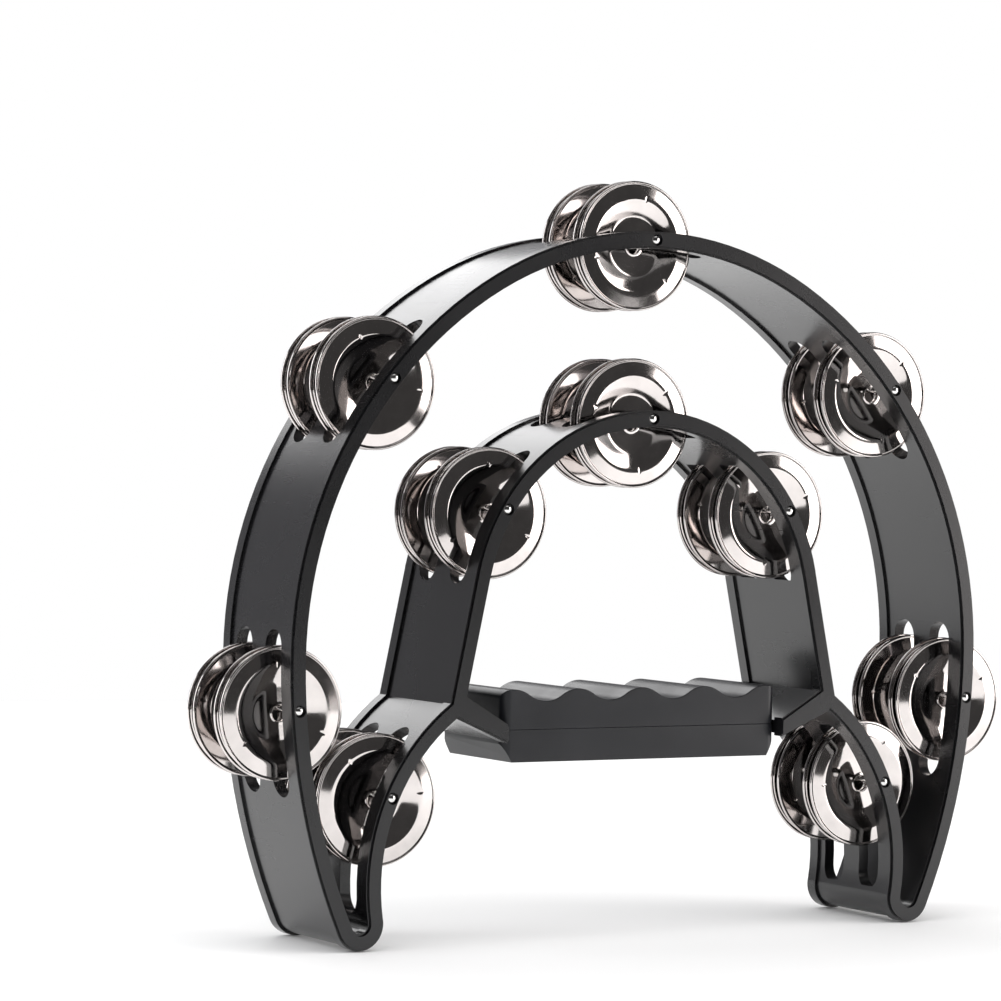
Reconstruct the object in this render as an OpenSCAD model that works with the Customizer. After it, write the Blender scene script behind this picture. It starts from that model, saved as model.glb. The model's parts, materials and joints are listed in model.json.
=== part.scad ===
// Half-moon tambourine with two rows of jingle pairs and a finger-grip handle.
// Stands on its two rounded feet: X is the width, Y the depth, Z up, in millimetres.
// The playing face with the pin heads is at -Y. The origin is under the middle of the object.

/* [Outer frame] */
// Width of the moulded frame, without the jingles that stand out of it
frame_w = 260; // [200:1:320]
// Height from the feet to the top of the frame
frame_h = 229; // [180:1:280]
// Depth of the frame from the front rim to the back rim
frame_d = 50; // [40:1:60]
// Height of the widest place
waist_z = 91; // [60:1:120]
// Outer radius of the crown of the frame
crown_r = 119; // [100:1:125]

/* [Band section] */
// Width of the rims, seen from the front
rim_w = 5.4; // [4.6:0.1:7]
// Depth of each rim from its face to the web
rim_d = 5.5; // [3:0.1:8]
// How far the web is set in from each side of the rim
web_inset = 0.8; // [0.4:0.1:1.2]
// Width of the shoulder on each side of the raised bead of a rim
bead_inset = 0.7; // [0.4:0.1:1.2]
// Height of the bead above the shoulders
bead_step = 0.9; // [0.4:0.1:1.5]

/* [Feet and legs] */
// Outer radius of the rounded tip of a foot
foot_r = 8.3; // [7:0.1:12]
// Distance of the middle of a foot from the middle plane
foot_x = 104.3; // [80:0.1:120]
// Distance of the centre of the inner leg's bend from the middle plane
knee_x = 31.8; // [20:0.1:45]
// Height of the centre of the inner leg's bend
knee_z = 20; // [10:0.5:35]

/* [Inner arch] */
// Height of the centre of the arch over the handle
arch_z = 105; // [90:0.5:120]
// Outer radius of the arch
arch_r = 66; // [55:0.5:75]
// Splay of the arch's legs from the vertical, in degrees
splay = 11.8; // [5:0.1:20]

/* [Handle] */
// Length of the grip
grip_l = 104; // [90:1:120]
// Depth of the grip, front to back
grip_d = 41; // [32:0.5:48]
// Height of the underside of the grip
grip_z0 = 57.4; // [50:0.1:65]
// Height of the joint between the two shells
grip_z1 = 67.8; // [60:0.1:75]
// Height of the finger wave's crests
grip_z2 = 80.8; // [74:0.1:90]
// Distance from one finger crest to the next
wave_pitch = 24; // [20:0.5:28]
// Height of the crests above the troughs
wave_h = 3.8; // [2:0.1:6]
// Wall thickness of the shells
shell_t = 2.6; // [1.6:0.1:4]
// Thickness of the arms and the crossbar inside the grip
bar_t = 6.1; // [5:0.1:8]

/* [Jingles and pins] */
// Diameter of a jingle over its rolled rim
jingle_dia = 42.5; // [35:0.5:42.5]
// Thickness of the jingle's sheet
sheet_t = 0.5; // [0.4:0.05:0.8]
// Radius of the hole in a jingle
hole_r = 2.7; // [2:0.1:3.2]
// Radius of a pin
pin_r = 1.1; // [0.8:0.05:1.2]
// Radius of a pin's domed head
head_r = 1.75; // [1.4:0.05:1.9]
// Distance between the rims of the two jingles of a pair at rest
pair_gap = 4.2; // [3.6:0.1:5]
// Distance between the front row and the back row
row_pitch = 20.6; // [19:0.1:22]
// Depth of a slot, along the pin
slot_w = 11.4; // [10.6:0.1:12]

/* [Part] */

/* [Hidden] */
$fn = 96;
// A length rounded to a micron, so that arcs which meet at the waist meet exactly
function micron(l) = round(l * 1000) / 1000;
// Half of the frame's width and depth
half_w = frame_w / 2;
half_d = frame_d / 2;
// Crown, side and leg of the outer band are three arcs, each tangent to the next
crown_c = [0, frame_h - crown_r];
crown_up = crown_c[1] - waist_z;
side_r = micron((half_w * half_w + crown_up * crown_up - crown_r * crown_r) / (2 * (half_w - crown_r)));
side_c = [half_w - side_r, waist_z];
side_a = atan2(crown_c[1] - side_c[1], -side_c[0]);
foot_c = [foot_x, foot_r];
foot_in = foot_x - half_w;
foot_down = foot_r - waist_z;
leg_r = micron((foot_r * foot_r - foot_in * foot_in - foot_down * foot_down) / (2 * (foot_in + foot_r)));
leg_c = [half_w - leg_r, waist_z];
leg_a = atan2(foot_c[1] - leg_c[1], foot_c[0] - leg_c[0]);
// The inner leg bends round the knee centre and runs into the foot
knee_c = [knee_x, knee_z];
knee_r = norm(foot_c - knee_c) - foot_r;
knee_a = atan2(foot_c[1] - knee_c[1], foot_c[0] - knee_c[0]);
// The inner leg's ring runs on a little past its corner with the arch leg, inside the fork
fork_a = 56;
// Width by which a stretch of band is set in on each side where it laps into another
hair = 0.05;
// Length by which it laps
lap_l = 0.5;
// Middle of the band, where the pins sit
mid = rim_w / 2;
// Top of the crossbar, its underside and half of its depth
bar_z1 = 70;
bar_z0 = bar_z1 - bar_t;
bar_half_d = half_d - 9;
// Upper and lower lines of the arms, from the fork down to the ends of the grip, and where
// the arms start inside the fork
arm_end_x = grip_l / 2 + 0.3;
arm_top = [[67.3, 79.0], [arm_end_x, bar_z1]];
arm_low = [[70.5, 71.9], [arm_end_x, bar_z0]];
arm_in_x = 71.5;
// Reach of a slot's cutter past the bow of the band, either way
cut_r = 3;
// How far a pin's tail ends inside the back rim
tail_in = 0.5;
// Pin's bore and the pocket round its head
bore_r = pin_r + 0.02;
pocket_r = head_r + 0.2;
pocket_d = 1.0;
// Heights of the jingle's ridge, the edge of its skirt and its flat middle over the rim's plane
ridge_h = 0.8;
skirt_h = 0.2;
flat_h = -1.0;
// Radius of the jingle's rolled rim, its raised ridge and its flat middle
roll_r = 0.45;
ridge_r = 0.735 * jingle_dia / 2;
flat_r = 0.44 * jingle_dia / 2;
// Radius of the arcs that make the finger wave
wave_r = (wave_pitch * wave_pitch / 4 + wave_h * wave_h) / (4 * wave_h);
// Radius of the grip's upright corners and of its top's end corners
grip_round = 3;
// Width and height of the bevels under the ends of the grip
bevel_w = 3.4;
bevel_h = 5.9;
// Clearance between the crossbar and the shells
bar_gap = 0.1;
// A jingle hangs with the top of its hole just clear of the pin
hang = hole_r - pin_r - 0.1;

// Point on a circle of centre c and radius r, at angle a
function polar(c, r, a) = [c[0] + r * cos(a), c[1] + r * sin(a)];
// Point where a line through two points has the given x
function on_line(pts, x) = [x, pts[0][1] + (pts[1][1] - pts[0][1]) * (x - pts[0][0]) / (pts[1][0] - pts[0][0])];
// Slope angle of a line through two points
function slope(pts) = atan2(pts[1][1] - pts[0][1], pts[1][0] - pts[0][0]);

// Arc length on a circle of radius r, as an angle
function arc_angle(l, r) = l / r * 180 / PI;

// Each station: name, side of the object, centre, radius and angle of its pin on the band,
// length of its slots above and below the pin, and how far its front pair and its back pair
// hang from the middle of their slots
function station(tag, side, c, r, a, up, down, front, back) = [tag, side, c, r, a, up, down, front, back];
crown_pin_r = crown_r - mid;
side_pin_r = side_r - mid;
leg_pin_r = leg_r - mid;
arch_pin_r = arch_r - mid;
knee_pin_r = knee_r + mid;
STATIONS = [
    station("crown", 1, crown_c, crown_pin_r, 90, 25, 25, 1.4, 0.6),
    station("shoulder_r", 1, side_c, side_pin_r, 39.8, 25, 26.5, 1.3, 0.2),
    station("shoulder_l", -1, side_c, side_pin_r, 39.8, 25, 26.5, 1.0, 0.5),
    station("waist_r", 1, leg_c, leg_pin_r, -4.2, 25, 28, -1.0, 0.3),
    station("waist_l", -1, leg_c, leg_pin_r, -4.2, 25, 28, 0.8, -0.4),
    station("arch", 1, [0, arch_z], arch_pin_r, 90, 25.5, 25.5, 1.0, 0.4),
    station("arm_r", 1, [0, arch_z], arch_pin_r, 32, 24, 26.5, 0.6, -0.3),
    station("arm_l", -1, [0, arch_z], arch_pin_r, 32, 24, 26.5, 0.5, 0.2),
    station("leg_r", 1, knee_c, knee_pin_r, 24, 24.5, 38, 1.2, 0.5),
    station("leg_l", -1, knee_c, knee_pin_r, 24, 24.5, 38, -1.0, -0.6),
];
// Where the pin of a station crosses the X-Z plane
function place(s) = let (p = polar(s[2], s[3], s[4])) [s[1] * p[0], p[1]];
function pin_name(s) = str("pin_", s[0]);
function jingle_name(s, k) = str("jingle_", s[0], "_", k);

// A 2-D outline drawn in the X-Z plane, made solid from depth y0 to depth y1
module slab(y0, y1) {
    translate([0, y1, 0])
        rotate([90, 0, 0])
            linear_extrude(height = y1 - y0)
                children();
}

// Both sides of the object
module both_sides() {
    children();
    mirror([1, 0, 0])
        children();
}

// Ring of centre c between two radii and two depths, kept inside a zone of the X-Z plane.
// Neighbouring zones share an edge.
module ring_in(depths, c, r_out, r_in, zone) {
    slab(depths[0], depths[1])
        intersection() {
            difference() {
                translate(c)
                    circle(r = r_out);
                translate(c)
                    circle(r = r_in);
            }
            polygon(zone);
        }
}

function left(p) = [-p[0], p[1]];

// Outer band from the crown down to the foot and up the inner leg, each side set in by e.
// The inner leg's ring laps a little into the foot's ring and is a hair narrower.
module outer_band(depths, e) {
    lap = polar([0, 0], lap_l, knee_a + 90);
    clear = 30;
    side_in = polar(crown_c, crown_r - clear, side_a);
    side_out = polar(crown_c, crown_r + clear, side_a);
    leg_in = [half_w - 2 * clear, waist_z];
    leg_out = [half_w + clear, waist_z];
    foot_out = polar(foot_c, 3 * foot_r, leg_a);
    high = frame_h + clear;
    ring_in(depths, crown_c, crown_r - e, crown_r - rim_w + e,
        [side_in, side_out, [side_out[0], high], [-side_out[0], high], left(side_out), left(side_in)]);
    both_sides() {
        ring_in(depths, side_c, side_r - e, side_r - rim_w + e, [side_in, side_out, [leg_out[0], side_out[1]], leg_out, leg_in]);
        ring_in(depths, leg_c, leg_r - e, leg_r - rim_w + e, [leg_in, leg_out, foot_out, foot_c]);
        ring_in(depths, foot_c, foot_r - e, foot_r - rim_w + e, [foot_c, foot_out, [foot_out[0], -clear], [knee_x, -clear], knee_c]);
        ring_in(depths, knee_c, knee_r + rim_w - e - hair, knee_r + e + hair,
            [foot_c - lap, knee_c - lap, polar(knee_c, 1.5 * knee_r, fork_a), polar(knee_c, 2 * knee_r, fork_a / 3)]);
    }
}

// Length of the arch leg's outer line from the arch to its corner with the inner leg
function arch_leg_l(e) =
    let (p = polar([0, arch_z], arch_r - e, splay) - knee_c, d = [sin(splay), -cos(splay)], r = knee_r + rim_w - e)
    -(p * d) - sqrt((p * d) * (p * d) - p * p + r * r);

// Arch over the handle with its two splayed legs. Each leg reaches a little into the arch
// and into the fork, and is a hair narrower than the arch so that their edges never coincide.
module arch_band(depths, e) {
    arch_c = [0, arch_z];
    arch_out = polar(arch_c, 2 * arch_r, splay);
    high = arch_z + 2 * arch_r;
    along = [sin(splay), -cos(splay)];
    outer = polar(arch_c, arch_r - e - hair, splay);
    inner = polar(arch_c, arch_r - rim_w + e + hair, splay);
    reach = arch_leg_l(e) + 2;
    ring_in(depths, arch_c, arch_r - e, arch_r - rim_w + e,
        [arch_c, arch_out, [arch_out[0], high], [-arch_out[0], high], left(arch_out)]);
    both_sides()
        slab(depths[0], depths[1])
            polygon([inner - lap_l * along, outer - lap_l * along, outer + reach * along, inner + reach * along]);
}

// Arms from the forks down to the ends of the grip
module arms(depths, e) {
    up = e / cos(slope([arm_low[1], arm_low[0]]));
    down = e / cos(slope([arm_top[1], arm_top[0]]));
    both_sides()
        slab(depths[0], depths[1])
            polygon([
                on_line(arm_top, arm_in_x) - [0, down],
                on_line(arm_top, arm_end_x) - [0, down],
                on_line(arm_low, arm_end_x) + [0, up],
                on_line(arm_low, arm_in_x) + [0, up],
            ]);
}

// All the bands of the moulding between two depths, each side of every band set in by e
module bands(depths, e) {
    outer_band(depths, e);
    arch_band(depths, e);
    arms(depths, e);
}

// Straight round-ended cutter between two points on a circle, at one depth: square to its
// own middle and deep enough for the circle's bow
module run_cut(c, r, a0, a1, y) {
    ends = [polar(c, r, a0), polar(c, r, a1)];
    middle = (ends[0] + ends[1]) / 2;
    bow = r - norm(middle - c);
    centre = polar(c, r - bow / 2, (a0 + a1) / 2);
    run_l = norm(ends[1] - ends[0]);
    translate([centre[0], y, centre[1]])
        rotate([0, 90 - (a0 + a1) / 2, 0])
            linear_extrude(height = bow + 2 * cut_r, center = true) {
                square([run_l, slot_w], center = true);
                for (end = [-run_l / 2, run_l / 2])
                    translate([end, 0])
                        circle(d = slot_w);
            }
}

// Cutter for the two slots of a station, in one run or, where they bend more, two
module slot_cut(s) {
    a0 = s[4] - arc_angle(s[6] - slot_w / 2, s[3]);
    a1 = s[4] + arc_angle(s[5] - slot_w / 2, s[3]);
    runs = ceil((a1 - a0) / 40);
    step = (a1 - a0) / runs;
    mirror([s[1] < 0 ? 1 : 0, 0, 0])
        for (y = [-row_pitch / 2, row_pitch / 2])
            for (i = [0:runs - 1])
                run_cut(s[2], s[3], a0 + i * step, a0 + (i + 1) * step, y);
}

// Cutter for one pin: a bore through the band and a pocket for the head
module pin_cut(s) {
    translate([place(s)[0], 0, place(s)[1]])
        rotate([90, 0, 0]) {
            cylinder(r = bore_r, h = frame_d + 2, center = true);
            translate([0, 0, half_d - pocket_d])
                cylinder(r = pocket_r, h = pocket_d + 1);
        }
}

// One-piece moulding: two beaded rims, the web between them, arms and the crossbar in the grip
module frame() {
    color([0.035, 0.035, 0.04])
        difference() {
            union() {
                bands([-half_d, -half_d + bead_step], bead_inset);
                bands([-half_d + bead_step, -half_d + rim_d], 0);
                bands([-half_d + rim_d, half_d - rim_d], web_inset);
                bands([half_d - rim_d, half_d - bead_step], 0);
                bands([half_d - bead_step, half_d], bead_inset);
                translate([-arm_end_x - 1, -bar_half_d, bar_z0 + web_inset])
                    cube([2 * arm_end_x + 2, 2 * bar_half_d, bar_t - 2 * web_inset]);
            }
            for (s = STATIONS) {
                slot_cut(s);
                pin_cut(s);
            }
        }
}

// Rounded rectangle centred on the origin
module rounded(l, w, r) {
    square([l - 2 * r, w], center = true);
    square([l, w - 2 * r], center = true);
    for (i = [-1, 1])
        for (j = [-1, 1])
            translate([i * (l / 2 - r), j * (w / 2 - r)])
                circle(r = r);
}

// Side view of the top shell: crests and troughs are equal arcs that meet half way up
module wave_outline() {
    half_z = grip_z2 - wave_h / 2;
    difference() {
        union() {
            translate([-grip_l / 2, grip_z1])
                square([grip_l, half_z - grip_z1]);
            for (i = [-2:2])
                intersection() {
                    translate([i * wave_pitch, grip_z2 - wave_r])
                        circle(r = wave_r);
                    translate([i * wave_pitch - wave_pitch / 4, half_z - 1])
                        square([wave_pitch / 2, wave_h]);
                }
        }
        for (i = [-1.5:1.5])
            translate([i * wave_pitch, grip_z2 - wave_h + wave_r])
                circle(r = wave_r);
    }
}

// Space for the crossbar, through both ends of the grip
module bar_space() {
    translate([-grip_l / 2 - 1, -bar_half_d - bar_gap, bar_z0 + web_inset - bar_gap])
        cube([grip_l + 2, 2 * (bar_half_d + bar_gap), bar_t - 2 * web_inset + 2 * bar_gap]);
}

// Plan of the grip, upright from a height to well over its top
module grip_plan(z0) {
    translate([0, 0, z0])
        linear_extrude(height = grip_z2)
            rounded(grip_l, grip_d, grip_round);
}

// Top shell of the grip, with the finger wave
module grip_top() {
    color([0.05, 0.05, 0.06])
        difference() {
            intersection() {
                slab(-grip_d / 2, grip_d / 2)
                    wave_outline();
                grip_plan(grip_z1 - 1);
                slab(-grip_d, grip_d)
                    translate([0, grip_z2 / 2])
                        rounded(grip_l, grip_z2, grip_round);
            }
            bar_space();
            translate([-grip_l / 2 + 2 * shell_t, -grip_d / 2 + shell_t, grip_z1 - 1])
                cube([grip_l - 4 * shell_t, grip_d - 2 * shell_t, grip_z2 - wave_h - shell_t - grip_z1 + 1]);
        }
}

// Bottom shell of the grip, with bevelled ends
module grip_base() {
    color([0.05, 0.05, 0.06])
        difference() {
            intersection() {
                slab(-grip_d / 2, grip_d / 2)
                    polygon([
                        [-grip_l / 2, grip_z1],
                        [-grip_l / 2, grip_z0 + bevel_h],
                        [-grip_l / 2 + bevel_w, grip_z0],
                        [grip_l / 2 - bevel_w, grip_z0],
                        [grip_l / 2, grip_z0 + bevel_h],
                        [grip_l / 2, grip_z1],
                    ]);
                grip_plan(grip_z0 - 1);
            }
            bar_space();
            translate([-grip_l / 2 + 3 * shell_t, -grip_d / 2 + shell_t, grip_z0 + shell_t])
                cube([grip_l - 6 * shell_t, grip_d - 2 * shell_t, grip_z1 - grip_z0]);
        }
}

// One pin with its domed head in the front rim's pocket
module pin(s) {
    dome_r = (head_r * head_r + pocket_d * pocket_d) / (2 * pocket_d);
    color([0.75, 0.74, 0.73])
        translate([place(s)[0], 0, place(s)[1]])
            rotate([90, 0, 0])
                rotate_extrude() {
                    translate([0, -half_d + tail_in])
                        square([pin_r, frame_d - tail_in - pocket_d]);
                    intersection() {
                        translate([0, half_d - dome_r])
                            circle(r = dome_r);
                        translate([0, half_d - pocket_d])
                            square([head_r, pocket_d]);
                    }
                }
}

// One pressed jingle about its own axis, hollow side towards +Y
module jingle() {
    r = jingle_dia / 2;
    rotate([90, 0, 0]) {
        rotate_extrude()
            polygon([
                [hole_r, flat_h],
                [flat_r, flat_h],
                [ridge_r, ridge_h],
                [r - roll_r, skirt_h],
                [r - roll_r, skirt_h - sheet_t],
                [ridge_r, ridge_h - sheet_t],
                [flat_r, flat_h - sheet_t],
                [hole_r, flat_h - sheet_t],
            ]);
        rotate_extrude()
            translate([r - roll_r, 0])
                circle(r = roll_r);
    }
}

// Jingle k of a station: 1 and 2 are the front pair, 3 and 4 the back pair, front to back
module jingle_at(s, k) {
    row = k < 3 ? -1 : 1;
    second = k == 2 || k == 4;
    shift = k < 3 ? s[7] : s[8];
    y = row * row_pitch / 2 + shift + (second ? pair_gap / 2 : -pair_gap / 2);
    color([0.78, 0.76, 0.74])
        translate([place(s)[0], y, place(s)[1] - hang])
            rotate([0, 0, second ? 180 : 0])
                jingle();
}

frame();
grip_top();
grip_base();
for (s = STATIONS) {
    pin(s);
    for (k = [1:4])
        jingle_at(s, k);
}
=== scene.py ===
"""Half-moon tambourine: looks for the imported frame, in metres, in the CAD's own frame."""
import json
import math

import bmesh
import bpy
from mathutils import Matrix, Vector

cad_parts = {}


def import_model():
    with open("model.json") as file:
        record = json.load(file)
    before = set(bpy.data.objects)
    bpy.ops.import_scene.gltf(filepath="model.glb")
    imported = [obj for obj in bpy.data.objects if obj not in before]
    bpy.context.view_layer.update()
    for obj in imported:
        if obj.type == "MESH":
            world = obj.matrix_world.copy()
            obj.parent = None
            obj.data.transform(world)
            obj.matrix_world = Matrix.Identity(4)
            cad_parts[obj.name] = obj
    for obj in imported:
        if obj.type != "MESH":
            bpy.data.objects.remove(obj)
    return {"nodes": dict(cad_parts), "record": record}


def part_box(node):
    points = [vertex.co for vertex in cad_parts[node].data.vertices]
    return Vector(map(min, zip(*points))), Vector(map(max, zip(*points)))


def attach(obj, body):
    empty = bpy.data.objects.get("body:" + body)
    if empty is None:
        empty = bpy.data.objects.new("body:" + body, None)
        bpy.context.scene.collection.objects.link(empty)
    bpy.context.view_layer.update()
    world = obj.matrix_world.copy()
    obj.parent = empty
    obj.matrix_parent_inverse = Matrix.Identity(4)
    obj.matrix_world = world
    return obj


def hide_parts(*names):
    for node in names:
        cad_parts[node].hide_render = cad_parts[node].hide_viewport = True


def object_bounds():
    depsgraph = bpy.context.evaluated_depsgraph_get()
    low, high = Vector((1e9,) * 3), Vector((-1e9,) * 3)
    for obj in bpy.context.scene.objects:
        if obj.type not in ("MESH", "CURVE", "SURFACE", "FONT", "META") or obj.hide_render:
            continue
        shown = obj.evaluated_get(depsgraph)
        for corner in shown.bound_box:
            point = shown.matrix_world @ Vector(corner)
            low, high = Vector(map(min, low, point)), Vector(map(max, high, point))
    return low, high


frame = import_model()
cad_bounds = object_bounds()

MM = 0.001
nodes = frame["nodes"]

# Camera, solved for the tambourine's pin heads: angles in degrees, lengths in metres
CAMERA_AZIMUTH = -29.66
CAMERA_ELEVATION = 1.07
CAMERA_ROLL = 0.97
CAMERA_PLACE = (-0.6853, -1.1362, 0.1615)
CAMERA_LENS = 144.55
CAMERA_SHIFT = (-0.0117, 0.0119)

# Brightness of the plain background seen by the camera, and of the even light on matte surfaces
BACKGROUND = 1.0
FILL = 1.0
# What polished surfaces reflect of the room: dark in front of the object, lighter behind it
ROOM_FRONT = (0.045, 0.044, 0.044)
ROOM_REAR = (0.33, 0.325, 0.34)
# Floor's radius and its distance under the object's feet, and the point that the lights aim at
FLOOR_RADIUS = 1.1
FLOOR_GAP = 0.0003
LIGHT_AIM = (0, 0, 0.12)

# Widths of the rounded edges, and the angles in degrees from which an edge is rounded and under
# which faces count as flat
FRAME_EDGE = 0.4 * MM
GRIP_EDGE = 0.35 * MM
EDGE_ANGLE = 30.0
FLAT_ANGLE = 0.4
WELD_GAP = 0.002 * MM
# Angle in degrees from which a pin's edge stays sharp
PIN_SHARP = 40

# Jingle's profile: radii as shares of the outer radius, heights over the rolled rim's plane
RIDGE_SHARE = 0.735
FLAT_SHARE = 0.44
HOLE_R = 2.7 * MM
ROLL_R = 0.45 * MM
SHEET = 0.5 * MM
RIDGE_H = 0.8 * MM
RIM_H = 0.2 * MM
FLAT_H = -1.0 * MM
# Crimps on the ridge: depth, length along the radius, and width in degrees
CRIMP_D = 0.22 * MM
CRIMP_L = 0.55 * MM
CRIMP_W = 1.3
# Degrees from one crimp to the next, and where the first jingle's crimps sit, with the step to
# the next jingle's
CRIMP_PITCH = 120.0
SPIN_START = -70
SPIN_STEP = 47
# Rows of vertices over the front and the back of a jingle, and its coarse step in degrees
FRONT_ROWS = 36
BACK_ROWS = 16
AROUND_STEP = 4
# From the rim's middle plane to the face of the node's box on the ridge's side
RIDGE_TO_BOX = 0.8 * MM


# ---------------------------------------------------------------- materials

def new_material(name):
    """An empty node material with a Principled shader, and a helper that adds nodes to it."""
    material = bpy.data.materials.new(name)
    material.use_nodes = True
    tree = material.node_tree
    shader = tree.nodes["Principled BSDF"]

    def add(kind, inputs=None, **settings):
        node = tree.nodes.new(kind)
        for key, value in settings.items():
            setattr(node, key, value)
        for key, value in (inputs or {}).items():
            if isinstance(value, bpy.types.NodeSocket):
                tree.links.new(value, node.inputs[key])
            else:
                node.inputs[key].default_value = value
        return node

    return material, shader, add, tree.links.new


def ramp(add, factor, stops):
    """A colour ramp fed by factor, with (position, colour) stops."""
    node = add("ShaderNodeValToRGB", {"Fac": factor})
    elements = node.color_ramp.elements
    while len(elements) < len(stops):
        elements.new(0.5)
    for element, (position, colour) in zip(elements, stops):
        element.position = position
        element.color = (*colour, 1)
    return node.outputs["Color"]


def spread(add, factor, low, high, low_in=0.0, high_in=1.0):
    """factor taken from the range low_in..high_in to low..high."""
    node = add("ShaderNodeMapRange", {
        "Value": factor, "From Min": low_in, "From Max": high_in, "To Min": low, "To Max": high})
    return node.outputs["Result"]


def noise(add, place, scale, detail=3.0, roughness=0.55):
    return add("ShaderNodeTexNoise", {
        "Vector": place, "Scale": scale, "Detail": detail, "Roughness": roughness}).outputs["Fac"]


def stretched(add, place, scale):
    """Object coordinates scaled unevenly, for streaks."""
    return add("ShaderNodeMapping", {"Vector": place, "Scale": scale}).outputs["Vector"]


def bump_chain(add, heights):
    """Bump nodes in series: (height, strength, distance in metres)."""
    normal = None
    for height, strength, distance in heights:
        inputs = {"Height": height, "Strength": strength, "Distance": distance}
        if normal is not None:
            inputs["Normal"] = normal
        normal = add("ShaderNodeBump", inputs).outputs["Normal"]
    return normal


def gloss_plastic():
    """Black injection-moulded plastic: semi-gloss, with faint flow marks, ripple, haze and scuffs."""
    material, shader, add, link = new_material("gloss_black_plastic")
    place = add("ShaderNodeTexCoord").outputs["Object"]
    flow = noise(add, stretched(add, place, (14, 3, 14)), 3.0, 4.0)
    haze = noise(add, place, 14.0, 4.0, 0.5)
    ripple = noise(add, place, 45.0, 1.0)
    specks = noise(add, place, 2600.0, 2.0)
    scuffs = noise(add, stretched(add, place, (900, 40, 300)), 1.3, 2.0, 0.6)
    link(ramp(add, flow, [(0.3, (0.0045, 0.0045, 0.0052)), (0.7, (0.0075, 0.0075, 0.0085))]),
         shader.inputs["Base Color"])
    mixed = add("ShaderNodeMath", {0: spread(add, haze, 0.22, 0.31, 0.3, 0.7),
                                   1: spread(add, scuffs, 0.0, 0.03, 0.58, 0.8)}, operation="ADD")
    link(mixed.outputs["Value"], shader.inputs["Roughness"])
    link(bump_chain(add, [(ripple, 0.05, 0.0008), (scuffs, 0.015, 0.0001), (specks, 0.04, 0.00003)]),
         shader.inputs["Normal"])
    shader.inputs["IOR"].default_value = 1.52
    shader.inputs["Coat Weight"].default_value = 0.25
    shader.inputs["Coat Roughness"].default_value = 0.16
    return material


def grip_plastic():
    """Satin charcoal plastic of the grip, a little blue, with a fine moulded grain."""
    material, shader, add, link = new_material("satin_charcoal_plastic")
    place = add("ShaderNodeTexCoord").outputs["Object"]
    mottle = noise(add, place, 30.0, 5.0, 0.6)
    grain = noise(add, place, 1900.0, 2.0, 0.6)
    ripple = noise(add, place, 110.0, 2.0)
    link(ramp(add, mottle, [(0.3, (0.0060, 0.0065, 0.0085)), (0.7, (0.0105, 0.0115, 0.0145))]),
         shader.inputs["Base Color"])
    link(spread(add, mottle, 0.30, 0.42, 0.3, 0.7), shader.inputs["Roughness"])
    link(bump_chain(add, [(ripple, 0.08, 0.0005), (grain, 0.22, 0.00006)]), shader.inputs["Normal"])
    shader.inputs["IOR"].default_value = 1.48
    return material


def nickel(name, colour, low, high):
    """Polished nickel-plated sheet: soft smudges, a slight waviness and small pits."""
    material, shader, add, link = new_material(name)
    place = add("ShaderNodeTexCoord").outputs["Object"]
    smudge = noise(add, place, 90.0, 4.0, 0.6)
    pits = noise(add, place, 1500.0, 3.0, 0.7)
    warp = noise(add, place, 260.0, 2.0)
    dark = tuple(0.86 * c for c in colour)
    link(ramp(add, smudge, [(0.32, dark), (0.62, colour)]), shader.inputs["Base Color"])
    link(spread(add, smudge, low, high, 0.3, 0.7), shader.inputs["Roughness"])
    link(bump_chain(add, [(warp, 0.012, 0.0003), (pits, 0.03, 0.00002)]), shader.inputs["Normal"])
    shader.inputs["Metallic"].default_value = 1.0
    return material


def pale(name, colour, roughness):
    """The studio's plain pale floor."""
    material, shader, add, link = new_material(name)
    place = add("ShaderNodeTexCoord").outputs["Object"]
    tone = noise(add, place, 2.0, 2.0)
    dimmer = tuple(0.99 * c for c in colour)
    link(ramp(add, tone, [(0.3, dimmer), (0.7, colour)]), shader.inputs["Base Color"])
    shader.inputs["Roughness"].default_value = roughness
    return material


# ---------------------------------------------------------------- meshes

def dress(obj, material):
    """The object's only material."""
    obj.data.materials.clear()
    obj.data.materials.append(material)


def soften(obj, width, segments=2):
    """Rounds the sharp edges of a CAD node with modifiers: its faces are joined up and freed of
    needless edges first, so that the bevel runs cleanly."""
    stale = obj.data.attributes.get("custom_normal")
    if stale:
        obj.data.attributes.remove(stale)
    obj.data.shade_smooth()
    weld = obj.modifiers.new("weld", "WELD")
    weld.merge_threshold = WELD_GAP
    planar = obj.modifiers.new("planar", "DECIMATE")
    planar.decimate_type = "DISSOLVE"
    planar.angle_limit = math.radians(FLAT_ANGLE)
    bevel = obj.modifiers.new("edges", "BEVEL")
    bevel.limit_method = "ANGLE"
    bevel.angle_limit = math.radians(EDGE_ANGLE)
    bevel.width = width
    bevel.segments = segments
    bevel.use_clamp_overlap = True
    bevel.harden_normals = True


def jingle_height(r, radius):
    """Height of the pressed sheet's front face at radius r: flat middle, raised ridge, sloping skirt."""
    ridge = RIDGE_SHARE * radius
    flat = FLAT_SHARE * radius
    skirt = radius - 2 * ROLL_R
    if r < flat:
        return FLAT_H
    if r < ridge:
        return FLAT_H + (RIDGE_H - FLAT_H) * (r - flat) / (ridge - flat)
    return RIDGE_H + (RIM_H - RIDGE_H) * (r - ridge) / (skirt - ridge)


def rounded_height(r, radius, blur=0.9 * MM, steps=9):
    """jingle_height with its corners rounded by averaging over a short width; the ends of the
    width weigh a tenth of its middle."""
    total = weight = 0.0
    for i in range(steps):
        t = -1 + 2 * i / (steps - 1)
        w = 1 - t * t * 0.9
        total += w * jingle_height(r + t * blur, radius)
        weight += w
    return total / weight


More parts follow.
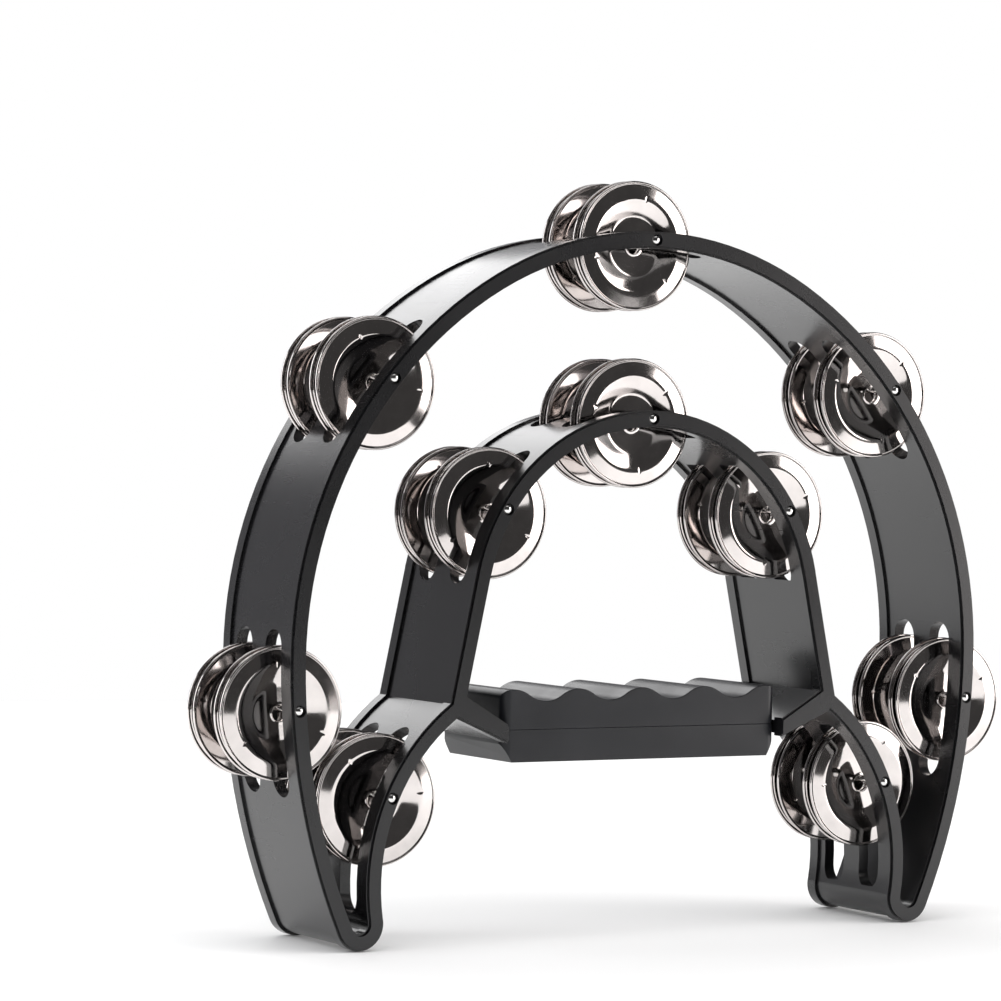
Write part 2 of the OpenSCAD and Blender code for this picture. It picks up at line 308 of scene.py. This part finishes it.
def jingle_profile(radius):
    """Closed outline of the sheet's section, as (radius, height) points: front with the hole's burr,
    rolled rim, back."""
    inner, outer = HOLE_R, radius - 1.6 * ROLL_R

    def row(count):
        return [inner + (outer - inner) * i / (count - 1) for i in range(count)]

    burr = [(HOLE_R, FLAT_H + 0.16 * MM), (HOLE_R + 0.16 * MM, FLAT_H + 0.22 * MM),
            (HOLE_R + 0.38 * MM, FLAT_H + 0.10 * MM), (HOLE_R + 0.6 * MM, FLAT_H)]
    front = burr + [(r, rounded_height(r, radius)) for r in row(FRONT_ROWS) if r > HOLE_R + 0.8 * MM]
    roll = []
    for degrees in range(150, -151, -30):
        a = math.radians(degrees)
        roll.append((radius - ROLL_R + ROLL_R * math.cos(a), ROLL_R * math.sin(a)))
    back = [(r, rounded_height(r, radius) - SHEET) for r in reversed(row(BACK_ROWS))]
    return front + roll + back


def jingle_mesh(name, radius, spin, second):
    """One pressed jingle about the Y axis, spun by an angle in degrees, with three crimps on the ridge:
    ridge towards -Y, or towards +Y for the second of a pair."""
    profile = jingle_profile(radius)
    crimps = [CRIMP_PITCH * k for k in range(3)]

    def off_crimp(a):
        return min(abs((a - c + 180) % 360 - 180) for c in crimps)

    fine = [c + d for c in crimps for d in (-3.4, -2.2, -1.4, -0.8, -0.3, 0.3, 0.8, 1.4, 2.2, 3.4)]
    coarse = [a for a in range(0, 360, AROUND_STEP) if off_crimp(a) > 4.5]
    angles = sorted(a % 360 for a in fine + coarse)
    ridge = RIDGE_SHARE * radius
    side = 1 if second else -1
    bm = bmesh.new()
    grid = []
    for a in angles:
        across = math.exp(-(off_crimp(a) / CRIMP_W) ** 2)
        t = math.radians(a + spin)
        column = []
        for r, h in profile:
            if r < radius - 2 * ROLL_R:
                h -= CRIMP_D * across * math.exp(-((r - ridge) / CRIMP_L) ** 2)
            column.append(bm.verts.new((r * math.sin(t), side * h, r * math.cos(t))))
        grid.append(column)
    n, m = len(angles), len(profile)
    for i in range(n):
        for j in range(m):
            a, b = grid[i], grid[(i + 1) % n]
            bm.faces.new((a[j], a[(j + 1) % m], b[(j + 1) % m], b[j]))
    bmesh.ops.recalc_face_normals(bm, faces=bm.faces)
    mesh = bpy.data.meshes.new(name)
    bm.to_mesh(mesh)
    bm.free()
    mesh.shade_smooth()
    return mesh


# ---------------------------------------------------------------- object

plastic = gloss_plastic()
grip = grip_plastic()
jingle_metal = nickel("jingle_nickel", (0.80, 0.755, 0.735), 0.05, 0.11)
pin_metal = nickel("pin_nickel", (0.86, 0.85, 0.84), 0.07, 0.13)

dress(nodes["frame"], plastic)
soften(nodes["frame"], FRAME_EDGE, segments=3)
for name in ("grip_top", "grip_base"):
    dress(nodes[name], grip)
    soften(nodes[name], GRIP_EDGE)

jingles = sorted(n for n in nodes if n.startswith("jingle_"))
pins = sorted(n for n in nodes if n.startswith("pin_"))
body_of_node = {n: b for b, members in frame["record"]["behaviour"]["bodies"].items() for n in members}
for i, name in enumerate(jingles):
    low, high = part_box(name)
    centre = (low + high) / 2
    second = name.endswith(("_2", "_4"))
    rim_y = high.y - RIDGE_TO_BOX if second else low.y + RIDGE_TO_BOX
    spin = SPIN_START + SPIN_STEP * i % CRIMP_PITCH
    piece_name = name.replace("jingle", "cymbal")
    mesh = jingle_mesh(piece_name, (high.x - low.x) / 2, spin, second)
    mesh.materials.append(jingle_metal)
    piece = bpy.data.objects.new(piece_name, mesh)
    bpy.context.scene.collection.objects.link(piece)
    piece.location = (centre.x, rim_y, centre.z)
    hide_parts(name)
    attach(piece, body_of_node[name])

for name in pins:
    dress(nodes[name], pin_metal)
    nodes[name].data.shade_smooth()
    nodes[name].data.set_sharp_from_angle(angle=math.radians(PIN_SHARP))

# ---------------------------------------------------------------- studio

def floor():
    """A plain pale disc just under the object."""
    bpy.ops.mesh.primitive_circle_add(
        vertices=96, radius=FLOOR_RADIUS, fill_type="NGON", location=(0, 0, cad_bounds[0][2] - FLOOR_GAP))
    obj = bpy.context.object
    obj.name = "floor"
    dress(obj, pale("floor_white", (0.93, 0.93, 0.93), 0.7))


def softbox(name, azimuth, elevation, distance, width, height, power, colour=(1, 1, 1)):
    """A rectangular soft light aimed at the middle of the object, azimuth from -Y towards +X."""
    data = bpy.data.lights.new(name, "AREA")
    data.shape = "RECTANGLE"
    data.size = width
    data.size_y = height
    data.energy = power
    data.color = colour
    obj = bpy.data.objects.new(name, data)
    bpy.context.scene.collection.objects.link(obj)
    a, e = math.radians(azimuth), math.radians(elevation)
    away = Vector((math.sin(a) * math.cos(e), -math.cos(a) * math.cos(e), math.sin(e)))
    obj.location = Vector(LIGHT_AIM) + away * distance
    obj.rotation_euler = away.to_track_quat("Z", "Y").to_euler()


def world():
    """Pale to the camera and to matte surfaces, dim to reflections, so that polished metal and black
    plastic show the softboxes against a dark room."""
    w = bpy.data.worlds.new("studio")
    bpy.context.scene.world = w
    w.use_nodes = True
    tree = w.node_tree
    tree.nodes.clear()
    out = tree.nodes.new("ShaderNodeOutputWorld")
    path = tree.nodes.new("ShaderNodeLightPath")

    def background(strength):
        node = tree.nodes.new("ShaderNodeBackground")
        node.inputs["Color"].default_value = (1, 1, 1, 1)
        node.inputs["Strength"].default_value = strength
        return node

    dim = background(1.0)
    place = tree.nodes.new("ShaderNodeTexCoord")
    split = tree.nodes.new("ShaderNodeSeparateXYZ")
    tone = tree.nodes.new("ShaderNodeValToRGB")
    tree.links.new(place.outputs["Generated"], split.inputs["Vector"])
    depth = tree.nodes.new("ShaderNodeMapRange")
    depth.inputs["From Min"].default_value = -1.0
    tree.links.new(split.outputs["Y"], depth.inputs["Value"])
    tree.links.new(depth.outputs["Result"], tone.inputs["Fac"])
    front, rear = tone.color_ramp.elements
    front.position, front.color = 0.50, (*ROOM_FRONT, 1)
    rear.position, rear.color = 0.85, (*ROOM_REAR, 1)
    tree.links.new(tone.outputs["Color"], dim.inputs["Color"])
    fill = background(FILL)
    seen = background(BACKGROUND)
    diffuse = tree.nodes.new("ShaderNodeMixShader")
    tree.links.new(path.outputs["Is Diffuse Ray"], diffuse.inputs["Fac"])
    tree.links.new(dim.outputs["Background"], diffuse.inputs[1])
    tree.links.new(fill.outputs["Background"], diffuse.inputs[2])
    mix = tree.nodes.new("ShaderNodeMixShader")
    tree.links.new(path.outputs["Is Camera Ray"], mix.inputs["Fac"])
    tree.links.new(diffuse.outputs["Shader"], mix.inputs[1])
    tree.links.new(seen.outputs["Background"], mix.inputs[2])
    tree.links.new(mix.outputs["Shader"], out.inputs["Surface"])


def camera():
    """Camera at the solved place: it looks along its own back vector, rolled a little."""
    data = bpy.data.cameras.new("camera")
    data.sensor_width = 36
    data.lens = CAMERA_LENS
    data.shift_x, data.shift_y = CAMERA_SHIFT
    data.clip_end = 100
    obj = bpy.data.objects.new("camera", data)
    bpy.context.scene.collection.objects.link(obj)
    a, e = math.radians(CAMERA_AZIMUTH), math.radians(CAMERA_ELEVATION)
    back = Vector((math.sin(a) * math.cos(e), -math.cos(a) * math.cos(e), math.sin(e)))
    turn = back.to_track_quat("Z", "Y").to_matrix().to_4x4()
    roll = Matrix.Rotation(math.radians(CAMERA_ROLL), 4, "Z")
    obj.matrix_world = Matrix.Translation(CAMERA_PLACE) @ turn @ roll
    bpy.context.scene.camera = obj


floor()
world()
softbox("key_top", azimuth=0, elevation=72, distance=1.7, width=1.6, height=1.2, power=5)
softbox("right_box", azimuth=56, elevation=4, distance=1.4, width=0.85, height=1.3, power=13,
        colour=(1.0, 0.955, 0.94))
softbox("left_box", azimuth=-98, elevation=14, distance=1.5, width=0.9, height=1.3, power=11,
        colour=(0.98, 0.985, 1.0))
softbox("rear_box", azimuth=178, elevation=30, distance=1.8, width=1.2, height=0.8, power=8)
bpy.context.scene.view_settings.view_transform = "Standard"
camera()
